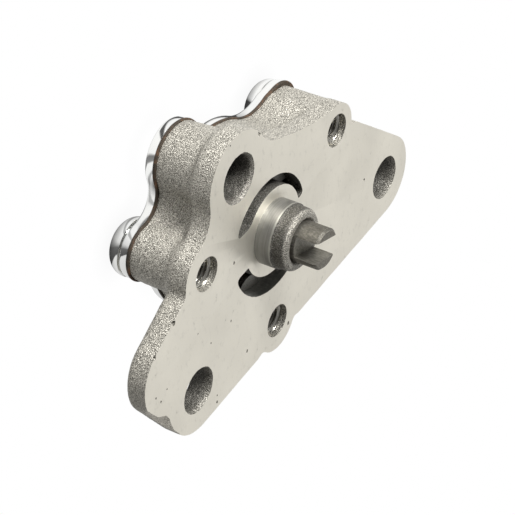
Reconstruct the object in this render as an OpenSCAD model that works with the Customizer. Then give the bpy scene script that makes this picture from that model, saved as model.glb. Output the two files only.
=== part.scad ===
// Engine oil pump of the trochoid kind, with a flanged cast body.
// The origin is the shaft axis on the mounting face. +Z points out of that face along
// the shaft, +X along the row of ear bolts, and the pump lies behind the face.

/* [Mounting flange] */
// Distance between the two ear bolts
ear_bolt_spacing = 50; // [46:0.5:60]
// Distance from the shaft to the left ear bolt, along the row
left_bolt_offset = 20.8; // [20:0.2:25]
// Distance from the shaft down to the row of ear bolts
bolt_row_drop = 12.5; // [12:0.5:15]
// Place of the top bolt, seen from the shaft
top_bolt = [-6.2, 14]; // [-20:0.1:20]
// Bore of the three bolt holes
bolt_hole_d = 6.5; // [5.4:0.1:7.8]
// Metal round each ear bolt hole
ear_wall = 3.25; // [2.5:0.05:4]
// Metal round the top bolt hole, at the mounting face
top_boss_wall = 3.55; // [3:0.05:4.5]
// Metal round the top bolt hole, at the gasket face
top_boss_back_wall = 2; // [1.6:0.05:2.5]
// Centre of the wide left corner, seen from the left ear bolt
left_corner = [-4.5, 7.5]; // [-8:0.1:10]
// Radius of the wide left corner
left_corner_r = 6.5; // [5:0.1:8]
// Thickness of the flange
flange_t = 3.3; // [2.6:0.1:5]
// Rounding of the flange's back edge
flange_edge_r = 0.8; // [0.2:0.1:1]
// Depth of the low cast patch below the left corner
patch_depth = 1.2; // [0.3:0.1:2]
// Width of the low cast patch
patch_w = 1; // [0.4:0.1:2]

/* [Pump housing] */
// Depth of the body from the mounting face to the gasket face
body_depth = 9.6; // [8:0.2:14]
// Thickness of the floor between the mounting face and the rotors
floor_t = 2.4; // [1.8:0.1:4]
// Metal round the rotor pocket
pocket_wall = 3.3; // [2.6:0.1:5]
// Draft of the cast walls, in degrees
draft = 3; // [1:0.5:4]
// Fillet between the housing and the flange
root_fillet = 1.1; // [0.4:0.1:1.5]
// How much wider the housing is at the mounting face
housing_flare = 0.7; // [0.5:0.05:1]

/* [Spigot] */
// Diameter of the turned locating spigot
spigot_d = 9.6; // [9:0.1:11.6]
// Length of the turned part of the spigot
spigot_turned_l = 2.4; // [1.5:0.1:4]
// Height of the whole spigot over the mounting face
spigot_l = 4.8; // [3.5:0.1:8]
// Step down from the turned part to the cast nose
nose_step = 0.22; // [0.1:0.01:0.4]
// Chamfer on the cast nose
nose_chamfer = 0.5; // [0.2:0.05:0.6]
// Chamfer at the mouth of the shaft bore
bore_chamfer = 0.4; // [0.1:0.05:0.6]
// Width of the turned relief round the spigot's foot
relief_w = 0.7; // [0.3:0.1:1]
// Depth of the turned relief
relief_depth = 0.1; // [0.05:0.05:0.4]

/* [Oil ports] */
// Step of the ports' inner edge, outwards of the inner rotor's hollows
port_inner_step = 0.46; // [0.1:0.02:0.9]
// Step of the ports' outer edge, inwards of the outer rotor's hollows
port_outer_step = 0.16; // [0.02:0.02:0.6]
// Height over the shaft of the upper port's left end
upper_port_left = 4.4; // [3.5:0.1:5]
// Height over the shaft of the upper port's right end
upper_port_right = 0.9; // [0.5:0.1:2]
// Drop below the shaft of the lower port's left end
lower_port_left = 1.5; // [1:0.1:3]
// Drop below the shaft of the lower port's right end
lower_port_right = 3.7; // [3:0.1:4.5]
// Corner radius of the ports
port_corner_r = 0.35; // [0.1:0.05:0.5]

/* [Rotors] */
// Distance between the two rotors' axes
eccentricity = 0.9; // [0.75:0.05:1.1]
// Radius of the ring on which the outer rotor's tooth centres lie
tooth_ring_r = 10.2; // [9.8:0.1:10.4]
// Radius of the outer rotor's round teeth
tooth_r = 3; // [2.7:0.1:3.3]
// Corner radius at the foot of the outer rotor's teeth
tooth_fillet = 1.1; // [0.6:0.1:1.4]
// Metal outside the outer rotor's hollows
rotor_wall = 1.24; // [1:0.02:2]
// Gap between the two rotors' profiles
tip_gap = 0.06; // [0.04:0.01:0.12]
// Radial running clearance of the outer rotor in its pocket
pocket_gap = 0.05; // [0.03:0.01:0.1]
// Gap at each face of the rotors
end_gap = 0.04; // [0.02:0.01:0.1]
// Chamfer on the outer rotor's rim
rim_chamfer = 0.4; // [0.2:0.1:0.6]

/* [Shaft and pin] */
// Diameter of the drive shaft
shaft_d = 6; // [5.5:0.1:6.6]
// Length of the shaft over the mounting face
shaft_reach = 8.5; // [7.5:0.1:14]
// Radial running clearance of the shaft in its bore
shaft_gap = 0.03; // [0.02:0.01:0.06]
// Width of the slot in the shaft's end
slot_w = 3; // [2.2:0.1:3.6]
// Depth of the slot in the shaft's end
slot_depth = 3.3; // [2:0.1:5]
// Direction of the slot at rest, in degrees
slot_angle = -21; // [-90:1:90]
// Chamfer on the shaft's ends
shaft_chamfer = 0.3; // [0.1:0.05:0.5]
// Diameter of the drive pin
pin_d = 2.5; // [2:0.1:3]
// Length of the drive pin
pin_l = 9.8; // [8.2:0.1:10.6]

/* [Cover and screws] */
// Thickness of the paper gasket
gasket_t = 0.5; // [0.3:0.05:0.8]
// How far the gasket stands proud of the body's edge
gasket_proud = 0.25; // [0:0.05:0.4]
// Thickness of the cover plate
cover_t = 1.4; // [1:0.1:2.5]
// Right cover screw: bearing from the rotor pocket's centre, and reach past its wall
right_screw_place = [15.2, 8.72]; // [-180:0.01:180]
// Left cover screw: bearing and reach
left_screw_place = [162.3, 5.08]; // [-180:0.01:180]
// Low cover screw: bearing and reach
low_screw_place = [-91.8, 5.66]; // [-180:0.01:180]
// Thread diameter of the cover screws
screw_d = 5; // [4:0.1:5.6]
// Metal round the right tapped hole, at the gasket face
right_boss_wall = 1.35; // [0.9:0.05:2]
// Cheek of the right boss at the housing, towards the top bolt, seen from its screw
right_cheek = [-1.9, 0.6]; // [-2.4:0.1:2.4]
// Step of this cheek inwards of the boss
cheek_step = 0.2; // [0:0.05:0.5]
// How much wider the right boss is at the mounting face
right_boss_flare = 0.2; // [0.15:0.05:1.2]
// Metal round the other two tapped holes, at the gasket face
boss_wall = 1.55; // [1:0.05:2]
// How much wider the other two bosses are at the mounting face
boss_flare = 0.75; // [0.4:0.05:1.2]
// Chamfer at the mouth of the tapped holes
mouth_chamfer = 0.25; // [0.1:0.05:0.5]
// Length of the cover screws below the head
screw_l = 8; // [6:0.5:10]
// Diameter of the pan heads
head_d = 8.4; // [7.5:0.1:10.8]
// Height of the pan heads
head_h = 2.6; // [2.4:0.1:4]
// Depth of the cross recess in the heads
recess_depth = 1.6; // [1:0.1:2]

/* [Hidden] */
$fn = 96;
eps = 0.02;

// Clearances of the pieces that are fitted once and don't run
thread_gap = 0.05;
screw_hole_gap = 0.25;
rotor_bore_gap = 0.02;
pin_hole_gap = 0.01;
pin_slot_gap = 0.08;
gasket_hole_gap = 0.3;

left_bolt = [-left_bolt_offset, -bolt_row_drop];
right_bolt = left_bolt + [ear_bolt_spacing, 0];
bolts = [top_bolt, left_bolt, right_bolt];
bolt_r = bolt_hole_d / 2;
ear_r = bolt_r + ear_wall;
screw_r = screw_d / 2;
shaft_r = shaft_d / 2;
bore_r = shaft_r + shaft_gap;
spigot_r = spigot_d / 2;
nose_r = spigot_r - nose_step;

// Radii of the rotors' tips and hollows follow from the ring, the teeth and the eccentricity
lobes = 4;
teeth = lobes + 1;
tooth_tip_r = tooth_ring_r - tooth_r;
tooth_root_r = tooth_tip_r + 2 * eccentricity + tip_gap;
lobe_root_r = tooth_tip_r - eccentricity - tip_gap;
rotor_r = tooth_root_r + rotor_wall;
pocket_at = [-eccentricity, 0];
pocket_r = rotor_r + pocket_gap;
port_inner_r = lobe_root_r + port_inner_step;
port_outer_r = tooth_root_r - port_outer_step;
housing_r = pocket_r + pocket_wall;
gasket_face = -body_depth - gasket_t;
cover_face = gasket_face - cover_t;
rotor_front = -floor_t - end_gap;
rotor_back = gasket_face + end_gap;
rotor_l = rotor_front - rotor_back;
pin_at = rotor_back + pin_slot_gap + pin_d / 2;

function screw_at(place) = on_circle(pocket_at, pocket_r + place[1], place[0]);
right_screw = screw_at(right_screw_place);
left_screw = screw_at(left_screw_place);
low_screw = screw_at(low_screw_place);
screws = [right_screw, left_screw, low_screw];

// An outline is a row of discs, taken anticlockwise, each [x, y, radius, hollow, flare].
// A disc meets the next by a hollow of that radius, or by a straight side where it is 0.
// The flare is how much the radius grows towards the mounting face.
arc_step = 12;
function disc(at, r, hollow = 0, flare = 0) = [at[0], at[1], r, hollow, flare];
function centre(d) = [d[0], d[1]];
function before(row, i) = row[(i + len(row) - 1) % len(row)];
function after(row, i) = row[(i + 1) % len(row)];
function bearing(v) = atan2(v[1], v[0]);
function side_bearing(a, b) =
    let (v = centre(b) - centre(a))
    bearing(v) - acos((a[2] - b[2]) / norm(v));
function hollow_centre(a, b) =
    let (v = centre(b) - centre(a), d = norm(v), ra = a[2] + a[3], rb = b[2] + a[3])
    let (along = (ra ^ 2 - rb ^ 2 + d ^ 2) / (2 * d), out = sqrt(ra ^ 2 - along ^ 2))
    centre(a) + (along * v + out * [v[1], -v[0]]) / d;
function meeting(on, a, b) =
    a[3] > 0 ? bearing(hollow_centre(a, b) - centre(on)) : side_bearing(a, b);
function turn_left(from, to) = (to - from + 810) % 360 - 90;
function steps(turn) = max(1, ceil(abs(turn) / arc_step - 0.001));
function on_circle(at, r, t) = at + r * [cos(t), sin(t)];

// Where disc i of a row starts and how far it turns, and the same for the hollow after it
function round_start(row, i) = meeting(row[i], before(row, i), row[i]);
function round_turn(row, i) = turn_left(round_start(row, i), meeting(row[i], row[i], after(row, i)));
function hollow_start(row, i) = meeting(row[i], row[i], after(row, i)) + 180;
function hollow_turn(row, i) =
    turn_left(meeting(after(row, i), row[i], after(row, i)) + 180, hollow_start(row, i));

// Rows that share a guide get as many points each
function outline(row, guide = []) = let (g = len(guide) > 0 ? guide : row)
    [for (i = [0:len(row) - 1]) let (n = steps(round_turn(g, i)), m = steps(hollow_turn(g, i)))
        each concat(
            [for (k = [0:n]) on_circle(centre(row[i]), row[i][2],
                round_start(row, i) + round_turn(row, i) * k / n)],
            row[i][3] == 0 ? [] : [for (k = [1:1:m - 1]) on_circle(
                hollow_centre(row[i], after(row, i)), row[i][3],
                hollow_start(row, i) - hollow_turn(row, i) * k / m)])];
function grown(row, by) =
    [for (d = row) [d[0], d[1], d[2] + by, d[3] > 0 ? d[3] - by : 0, d[4]]];
function flared(row, share) =
    [for (d = row) [d[0], d[1], d[2] + share * d[4], d[3] > 0 ? d[3] - share * d[4] : 0, d[4]]];

// Solid through outlines of one row, each level [z, share of the flare], from the lowest up
module drafted(row, levels) {
    n = len(outline(row));
    top = (len(levels) - 1) * n;
    points = [for (level = levels) each [for (p = outline(flared(row, level[1]), row))
        [p[0], p[1], level[0]]]];
    sides = [for (k = [0:len(levels) - 2], i = [0:n - 1]) let (j = (i + 1) % n)
        [k * n + i, (k + 1) * n + i, (k + 1) * n + j, k * n + j]];
    polyhedron(points, concat(
        [[for (i = [0:n - 1]) i]], sides, [[for (i = [n - 1:-1:0]) top + i]]), convexity = 6);
}

// The housing and its bosses at the gasket face. The bosses stay inside the flange's edge.
boss_inset = 0.15;
foot = -flange_t - root_fillet;
draft_growth = tan(draft) * (body_depth + foot);
pocket_flare = draft_growth + root_fillet;
top_flare = top_boss_wall - top_boss_back_wall - boss_inset;
right_boss_r = screw_r + right_boss_wall;
housing_row = [
    disc(right_screw, right_boss_r, 0, right_boss_flare - boss_inset),
    disc(right_screw + right_cheek, right_boss_r - cheek_step, 8, right_boss_flare - boss_inset),
    disc(pocket_at, housing_r, 3, housing_flare - boss_inset),
    disc(top_bolt, bolt_r + top_boss_back_wall, 3.7, top_flare),
    disc(left_screw, screw_r + boss_wall, 3, boss_flare - boss_inset),
    disc(pocket_at, housing_r, 3, pocket_flare),
    disc(low_screw, screw_r + boss_wall, 3, boss_flare - boss_inset),
    disc(pocket_at, housing_r, 8, pocket_flare)];

// The flange at the mounting face. Shoulders are where a straight edge ends at a boss.
shoulder_r = 1.5;
right_shoulder = right_screw + [4.4, -3.35];
left_shoulder = left_screw + [-5.6, -2.2];
low_shoulder = 5.5;
edge_waist = 0.1;
long_edge = -bolt_row_drop - ear_r + shoulder_r + edge_waist;
flange_row = [
    disc(right_bolt, ear_r),
    disc(right_shoulder, shoulder_r, 0.8),
    disc(right_screw, right_boss_r + right_boss_flare, 3 * housing_r),
    disc(pocket_at, housing_r + housing_flare, 0.5 * housing_r),
    disc(top_bolt, bolt_r + top_boss_wall, 5),
    disc(left_screw, screw_r + boss_wall + boss_flare, 1.5),
    disc(left_shoulder, shoulder_r),
    disc(left_bolt + left_corner, left_corner_r),
    disc(left_bolt, ear_r),
    disc([low_screw[0] - low_shoulder, long_edge], shoulder_r, 1),
    disc(low_screw, screw_r + boss_wall + boss_flare, 1),
    disc([low_screw[0] + low_shoulder, long_edge], shoulder_r)];

// Both lofts are longer than the casting and are cut to length, for clean end faces
spare = 0.5;
module cut_to(low, high) {
    size = 3 * ear_bolt_spacing;
    intersection() {
        children();
        translate([-size / 2, -size / 2, low]) cube([size, size, high - low]);
    }
}

module flange() {
    row = [for (d = flange_row) [d[0], d[1], d[2], d[3], flange_edge_r]];
    cut_to(-flange_t, 0) drafted(row, concat(
        [[-flange_t - spare, -1 - spare / flange_edge_r]],
        [for (t = [30, 60, 90]) [-flange_t + flange_edge_r * (1 - cos(t)), sin(t) - 1]],
        [[spare, 0]]));
}

module housing() {
    draft_share = draft_growth / pocket_flare;
    fillet_steps = 3;
    cut_to(-body_depth, -floor_t / 2) drafted(housing_row, concat(
        [[-body_depth - spare, -draft_share * spare / (body_depth + foot)]],
        [for (i = [0:fillet_steps]) let (t = 90 * i / fillet_steps)
            [foot + root_fillet * sin(t), draft_share + (1 - draft_share) * (1 - cos(t))]],
        [[0, 1]]));
}

module spigot() {
    rotate_extrude() polygon([
        [0, -floor_t / 2], [spigot_r, -floor_t / 2], [spigot_r, spigot_turned_l],
        [nose_r, spigot_turned_l], [nose_r, spigot_l - nose_chamfer],
        [nose_r - nose_chamfer, spigot_l], [0, spigot_l]]);
}

module port(left, right) {
    far = 2 * port_outer_r;
    ends = [[-far, left], [0, left], [0, right], [far, right]];
    translate([0, 0, -floor_t - eps]) linear_extrude(floor_t + 2 * eps)
        offset(r = port_corner_r) offset(delta = -port_corner_r) intersection() {
            difference() {
                translate(pocket_at) circle(port_outer_r);
                circle(port_inner_r);
            }
            polygon(concat(ends, [[far, far], [-far, far]]));
        }
}

module tapped_hole(at) {
    translate([at[0], at[1], -body_depth - eps]) cylinder(r = screw_r, h = body_depth + 2 * eps);
    translate([at[0], at[1], -mouth_chamfer])
        cylinder(r1 = screw_r, r2 = screw_r + mouth_chamfer + eps, h = mouth_chamfer + eps);
}

module shaft_bore() {
    translate([0, 0, -body_depth]) cylinder(r = bore_r, h = body_depth + spigot_l + eps);
    translate([0, 0, spigot_l - bore_chamfer])
        cylinder(r1 = bore_r, r2 = bore_r + bore_chamfer + eps, h = bore_chamfer + eps);
}

module foot_relief() {
    translate([0, 0, -relief_depth]) difference() {
        cylinder(r = spigot_r + relief_w, h = relief_depth + eps);
        translate([0, 0, -eps]) cylinder(r = spigot_r, h = relief_depth + 3 * eps);
    }
}

// Low spot of the casting that the milling cutter doesn't reach
module corner_patch() {
    side = left_corner / norm(left_corner);
    outward = [-side[1], side[0]];
    start = left_bolt + ear_r * outward;
    translate([0, 0, -patch_depth]) linear_extrude(patch_depth + eps)
        offset(r = patch_w) offset(delta = -patch_w) polygon([
            start - 2.5 * side - patch_w * outward, start + 2 * side - patch_w * outward,
            start + 8 * side + 2 * outward, start - 2.5 * side + 4 * outward]);
}

module openings() {
    translate([pocket_at[0], pocket_at[1], -body_depth - eps])
        cylinder(r = pocket_r, h = body_depth - floor_t + eps);
    shaft_bore();
    port(upper_port_left, upper_port_right);
    mirror([0, 1, 0]) port(lower_port_left, lower_port_right);
    for (at = bolts) translate([at[0], at[1], -body_depth - eps])
        cylinder(r = bolt_r, h = body_depth + 2 * eps);
    for (at = screws) tapped_hole(at);
}

// The flange and the housing are bored one at a time: fewer faces meet at once
module pump_body() color([0.78, 0.77, 0.74]) {
    difference() {
        union() {
            flange();
            spigot();
        }
        openings();
        foot_relief();
        corner_patch();
    }
    difference() {
        housing();
        openings();
    }
}

module drive_shaft() color([0.42, 0.42, 0.4]) difference() {
    rotate_extrude() polygon([
        [0, rotor_back], [shaft_r - shaft_chamfer, rotor_back],
        [shaft_r, rotor_back + shaft_chamfer], [shaft_r, shaft_reach - shaft_chamfer],
        [shaft_r - shaft_chamfer, shaft_reach], [0, shaft_reach]]);
    rotate(slot_angle) translate([-shaft_d, -slot_w / 2, shaft_reach - slot_depth])
        cube([2 * shaft_d, slot_w, slot_depth + eps]);
    translate([-shaft_d, 0, pin_at]) rotate([0, 90, 0])
        cylinder(d = pin_d + 2 * pin_hole_gap, h = 2 * shaft_d);
}

module drive_pin() color([0.6, 0.6, 0.6]) {
    pin_chamfer = 0.25;
    translate([0, 0, pin_at]) rotate([0, 90, 0]) rotate_extrude() polygon([
        [0, -pin_l / 2], [pin_d / 2 - pin_chamfer, -pin_l / 2],
        [pin_d / 2, -pin_l / 2 + pin_chamfer], [pin_d / 2, pin_l / 2 - pin_chamfer],
        [pin_d / 2 - pin_chamfer, pin_l / 2], [0, pin_l / 2]]);
}

// Profile of the inner rotor: the outer rotor's round teeth roll it out as a trochoid.
// t is the angle on the ring of tooth centres, and a tooth lies lean degrees off it.
profile_points = 144;
function inner_profile(t) =
    let (lean = atan2(sin(lobes * t), tooth_ring_r / (eccentricity * teeth) - cos(lobes * t)))
    on_circle([0, 0], tooth_ring_r, t) - on_circle([0, 0], eccentricity, teeth * t)
        - on_circle([0, 0], tooth_r + tip_gap, t - lean);

module inner_rotor() color([0.5, 0.49, 0.47]) difference() {
    slot = pin_d + 2 * pin_slot_gap;
    translate([0, 0, rotor_back]) rotate(180 / lobes) linear_extrude(rotor_l)
        polygon([for (i = [0:profile_points - 1]) inner_profile(360 * i / profile_points)]);
    translate([0, 0, rotor_back - eps]) cylinder(r = shaft_r + rotor_bore_gap, h = rotor_l + 2 * eps);
    translate([-pin_l / 2 - pin_slot_gap, -slot / 2, rotor_back - eps])
        cube([pin_l + 2 * pin_slot_gap, slot, slot + eps]);
}

module tooth_space() {
    offset(r = tooth_fillet) offset(delta = -tooth_fillet) difference() {
        circle(tooth_root_r);
        for (i = [0:teeth - 1]) rotate((i + 0.5) * 360 / teeth) translate([tooth_ring_r, 0])
            circle(tooth_r);
    }
}

module outer_rotor() color([0.47, 0.46, 0.44]) translate([pocket_at[0], pocket_at[1], 0])
    difference() {
        rotate_extrude() polygon([
            [0, rotor_back], [rotor_r - rim_chamfer, rotor_back],
            [rotor_r, rotor_back + rim_chamfer], [rotor_r, rotor_front - rim_chamfer],
            [rotor_r - rim_chamfer, rotor_front], [0, rotor_front]]);
        translate([0, 0, rotor_back - eps]) linear_extrude(rotor_l + 2 * eps) tooth_space();
    }

// The flat pieces behind the body share its outline and holes
module flat_piece(z, thickness, growth, gap) {
    translate([0, 0, z]) linear_extrude(thickness) difference() {
        polygon(outline(grown(housing_row, growth)));
        translate(top_bolt) circle(bolt_r);
        for (at = screws) translate(at) circle(screw_r + gap);
        children();
    }
}

module cover_gasket() color([0.34, 0.2, 0.12])
    flat_piece(gasket_face, gasket_t, gasket_proud, gasket_hole_gap)
        translate(pocket_at) circle(pocket_r + gasket_hole_gap);

module cover_plate() color([0.86, 0.87, 0.88])
    flat_piece(cover_face, cover_t, 0.1, screw_hole_gap);

module cover_screw() {
    head_r = head_d / 2;
    edge = 0.12 * head_h;
    crown_r = 0.32 * head_r;
    wing = 0.17 * head_d;
    shank_r = screw_r - thread_gap;
    difference() {
        rotate_extrude() polygon(concat(
            [[0, screw_l], [0, -head_h]],
            [for (i = [0:8]) let (t = 90 * i / 8)
                [crown_r + (head_r - crown_r) * sin(t), -edge - (head_h - edge) * cos(t)]],
            [[head_r, 0], [shank_r, 0], [shank_r, screw_l - 0.6], [shank_r - 0.6, screw_l]]));
        translate([0, 0, -head_h - eps]) for (turn = [0, 90]) rotate(turn)
            translate([-1.4 * wing, -0.35 * wing, 0])
                cube([2.8 * wing, 0.7 * wing, recess_depth + eps]);
    }
}

module cover_screws() color([0.88, 0.89, 0.9])
    for (at = screws) translate([at[0], at[1], cover_face]) cover_screw();

pump_body();
drive_shaft();
drive_pin();
inner_rotor();
outer_rotor();
cover_gasket();
cover_plate();
cover_screws();
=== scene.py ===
import math

import bmesh
import bpy
import numpy as np
from mathutils import Matrix, Vector, noise


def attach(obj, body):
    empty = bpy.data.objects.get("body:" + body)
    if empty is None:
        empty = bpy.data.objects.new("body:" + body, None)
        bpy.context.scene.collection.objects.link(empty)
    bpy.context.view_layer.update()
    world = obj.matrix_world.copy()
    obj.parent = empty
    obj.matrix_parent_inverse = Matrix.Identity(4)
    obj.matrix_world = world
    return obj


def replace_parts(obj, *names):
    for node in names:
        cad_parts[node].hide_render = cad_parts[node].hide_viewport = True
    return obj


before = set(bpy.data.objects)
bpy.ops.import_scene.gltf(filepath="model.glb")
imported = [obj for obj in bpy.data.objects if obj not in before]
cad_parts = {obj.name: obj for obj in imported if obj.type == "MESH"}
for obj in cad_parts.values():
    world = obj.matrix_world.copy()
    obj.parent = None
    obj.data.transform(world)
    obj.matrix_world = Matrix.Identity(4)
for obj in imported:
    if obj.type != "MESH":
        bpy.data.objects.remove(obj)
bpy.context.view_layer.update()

# The view
# The camera looks down on the mounting face from its left, as the photograph does. It is
# rolled, because the pump lies on its screw heads here and stands on edge there.
MM = 0.001
VIEW_RIGHT = Vector((0.5389, -0.0873, 0.8378))
VIEW_UP = Vector((0.5995, 0.7385, -0.3086))
VIEW_BACK = Vector((-0.5918, 0.6686, 0.4503))
VIEW_FROM = Vector((-173.06, 189.17, 128.46)) * MM

SENSOR_WIDTH = 36
FOCAL_LENGTH = 145.95
NEAREST_SEEN = 0.01

camera = bpy.data.objects.new("camera", bpy.data.cameras.new("camera"))
bpy.context.scene.collection.objects.link(camera)
camera.data.sensor_width = SENSOR_WIDTH
camera.data.lens = FOCAL_LENGTH
camera.data.clip_start = NEAREST_SEEN
camera.matrix_world = Matrix.Translation(VIEW_FROM) @ Matrix(
    (VIEW_RIGHT, VIEW_UP, VIEW_BACK)).transposed().to_4x4()
bpy.context.scene.camera = camera

# The pump body
# One aluminium die casting: flange, pump housing and spigot. Its skin is left as cast; the
# mounting face is milled, the foot of the spigot, shaft bore and rotor pocket are turned,
# and three holes are tapped for the cover screws. The bolt holes and upper port are cast.
BODY_DEPTH = 9.6
FLANGE_T = 3.3
FLOOR_T = 2.4
BOLTS = [(-6.2, 14.0), (-20.8, -12.5), (29.2, -12.5)]
BOLT_R = 3.25
EAR_R = 6.5
SCREWS = [(17.502, 5.0), (-15.6, 4.691), (-1.4, -16.0)]
SCREW_R = 2.5
POCKET_AT = (-0.9, 0.0)
POCKET_R = 10.35
SPIGOT_R = 4.8
SPIGOT_L = 4.8
NOSE_R = 4.58
NOSE_FOOT = 2.4
BORE_R = 3.03
STOCK = 0.6

# Rows of discs that the outlines run round: centre, radius, hollow up to the next disc, and
# how much of the flare each takes
right_at, left_at, low_at = [np.array(s) for s in SCREWS]
HOUSING_ROW = [
    (right_at, 3.85, 0, 0.05), (right_at + (-1.9, 0.6), 3.65, 8.0, 0.05),
    (POCKET_AT, 13.65, 3.0, 0.55), (BOLTS[0], 5.25, 3.7, 1.4),
    (left_at, 4.05, 3.0, 0.6), (POCKET_AT, 13.65, 3.0, 1.38), (low_at, 4.05, 3.0, 0.6),
    (POCKET_AT, 13.65, 8.0, 1.38)]
FLANGE_ROW = [
    (BOLTS[2], EAR_R, 0, 1), (right_at + (4.4, -3.35), 1.5, 0.8, 1),
    (right_at, 4.05, 41.0, 1), (POCKET_AT, 14.35, 6.8, 1), (BOLTS[0], 6.8, 5.0, 1),
    (left_at, 4.8, 1.5, 1), (left_at + (-5.6, -2.2), 1.5, 0, 1),
    ((-25.3, -5.0), 6.5, 0, 1), (BOLTS[1], EAR_R, 0, 1),
    (low_at + (-5.5, -1.4), 1.5, 1.0, 1), (low_at, 4.8, 1.0, 1), (low_at + (5.5, -1.4), 1.5, 0, 1)]
OUTLINE_STEP = 4.0


def bearing(v):
    return math.atan2(v[1], v[0])


def turn_left(start, end):
    """The angle from start to end, anticlockwise. It may be up to a quarter turn below zero."""
    return (end - start + 4.5 * math.pi) % (2 * math.pi) - math.pi / 2


def tangents(discs):
    """For each disc, where its arc starts, how far it turns and the centre of the hollow after
    it, and for each join the bearings at which it leaves one disc and meets the next."""
    joins = []
    for i, (at, radius, hollow, _) in enumerate(discs):
        next_at, next_radius = discs[(i + 1) % len(discs)][:2]
        here, there = np.array(at), np.array(next_at)
        way = there - here
        far = np.linalg.norm(way)
        if hollow:
            near_side, far_side = radius + hollow, next_radius + hollow
            along = (near_side ** 2 - far_side ** 2 + far ** 2) / (2 * far)
            across = math.sqrt(near_side ** 2 - along ** 2)
            centre = here + (along * way + across * np.array((way[1], -way[0]))) / far
            joins.append((bearing(centre - here), bearing(centre - there), centre))
        else:
            side = bearing(way) - math.acos((radius - next_radius) / far)
            joins.append((side, side, None))
    arcs = []
    for i in range(len(discs)):
        leave, _, centre = joins[i]
        enter = joins[i - 1][1]
        arcs.append((enter, turn_left(enter, leave), centre))
    return arcs, joins


def tangent_outline(row, guide, share=0.0):
    """The outline round a row of discs, anticlockwise, that meet by hollows of the given
    radius or by straight sides. The share is the part of each flare that is added. The guide
    is a row of the same discs, and gives each outline of one solid as many points."""
    guide_arcs, guide_joins = tangents(guide)
    flared = [(at, r + share * f, h - share * f if h else 0, f) for at, r, h, f in row]
    arcs, joins = tangents(flared)
    points = []
    for i, (at, r, h, _) in enumerate(flared):
        steps = max(1, math.ceil(abs(math.degrees(guide_arcs[i][1])) / OUTLINE_STEP))
        start, turn, centre = arcs[i]
        for k in range(steps + 1):
            t = start + turn * k / steps
            points.append((at[0] + r * math.cos(t), at[1] + r * math.sin(t)))
        if centre is not None:
            start = joins[i][0] + math.pi
            bend = turn_left(joins[i][1] + math.pi, start)
            guide_bend = turn_left(guide_joins[i][1] + math.pi, guide_joins[i][0] + math.pi)
            steps = max(1, math.ceil(abs(math.degrees(guide_bend)) / OUTLINE_STEP))
            for k in range(1, steps):
                t = start - bend * k / steps
                points.append((centre[0] + h * math.cos(t), centre[1] + h * math.sin(t)))
    return np.array(points)


def new_piece(name, points, faces, kinds, finishes):
    """A mesh object in millimetres, with one finish number for each face."""
    mesh = bpy.data.meshes.new(name)
    mesh.from_pydata([tuple(map(float, p)) for p in points], [], faces)
    for finish in finishes:
        mesh.materials.append(finish)
    if kinds is not None:
        mesh.polygons.foreach_set("material_index", kinds)
    obj = bpy.data.objects.new(name, mesh)
    bpy.context.scene.collection.objects.link(obj)
    return obj


def rings(name, loops, finishes, kinds=None):
    """A capped solid through loops of equal length. kinds has one finish number for each
    band, then the low and the high cap."""
    n, bands = len(loops[0]), len(loops) - 1
    kinds = kinds or [0] * (bands + 2)
    points = np.concatenate(loops)
    faces, marks = [], []
    for b in range(bands):
        for i in range(n):
            j = (i + 1) % n
            faces.append((b * n + i, b * n + j, (b + 1) * n + j, (b + 1) * n + i))
            marks.append(kinds[b])
    faces += [tuple(range(n - 1, -1, -1)), tuple(range(bands * n, bands * n + n))]
    marks += [kinds[bands], kinds[bands + 1]]
    return new_piece(name, points, faces, marks, finishes)


def level(outline, z):
    """The outline's points at one height."""
    return np.column_stack([outline, np.full(len(outline), z)])


def circle(at, r, n=96):
    t = np.arange(n) * 2 * math.pi / n
    return np.column_stack([at[0] + r * np.cos(t), at[1] + r * np.sin(t)])


def turned(name, profile, finishes, kinds=None, at=(0, 0), n=192):
    """A solid of revolution. The profile is a closed loop of (radius, height), anticlockwise,
    and kinds has one finish number for each of its sides."""
    kinds = kinds or [0] * len(profile)
    on_axis = 1e-6
    bm = bmesh.new()
    angles = [2 * math.pi * k / n for k in range(n)]
    columns = []
    for r, z in profile:
        if r < on_axis:
            columns.append([bm.verts.new((at[0], at[1], z))] * n)
        else:
            columns.append([bm.verts.new((at[0] + r * math.cos(a), at[1] + r * math.sin(a), z))
                            for a in angles])
    for i, side in enumerate(kinds):
        a, b = columns[i], columns[(i + 1) % len(columns)]
        for k in range(n):
            m = (k + 1) % n
            corners = []
            for v in (a[k], a[m], b[m], b[k]):
                if v not in corners:
                    corners.append(v)
            if len(corners) > 2:
                bm.faces.new(corners).material_index = side
    bmesh.ops.recalc_face_normals(bm, faces=bm.faces)
    obj = new_piece(name, [], [], None, finishes)
    bm.to_mesh(obj.data)
    bm.free()
    return obj


def applied(obj, kind, **values):
    """Adds one modifier with these values and applies it."""
    modifier = obj.modifiers.new("step", kind)
    for key, value in values.items():
        setattr(modifier, key, value)
    graph = bpy.context.evaluated_depsgraph_get()
    mesh = bpy.data.meshes.new_from_object(obj.evaluated_get(graph), depsgraph=graph)
    obj.modifiers.clear()
    old, obj.data = obj.data, mesh
    bpy.data.meshes.remove(old)
    return obj


def machine(obj, *cutters, operation="DIFFERENCE"):
    """Cuts the cutters out of the piece and drops them."""
    for cutter in cutters:
        applied(obj, "BOOLEAN", object=cutter, operation=operation, solver="MANIFOLD")
        bpy.data.objects.remove(cutter)
    return obj


def roughened(obj, *waves):
    """Moves each point along its normal by smooth noise, in waves of (height, length)."""
    mesh = obj.data
    for v, normal in zip(mesh.vertices, [n.vector.copy() for n in mesh.vertex_normals]):
        v.co += normal * sum(h * noise.noise(v.co / w) for h, w in waves)
    mesh.update()
    return obj


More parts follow.
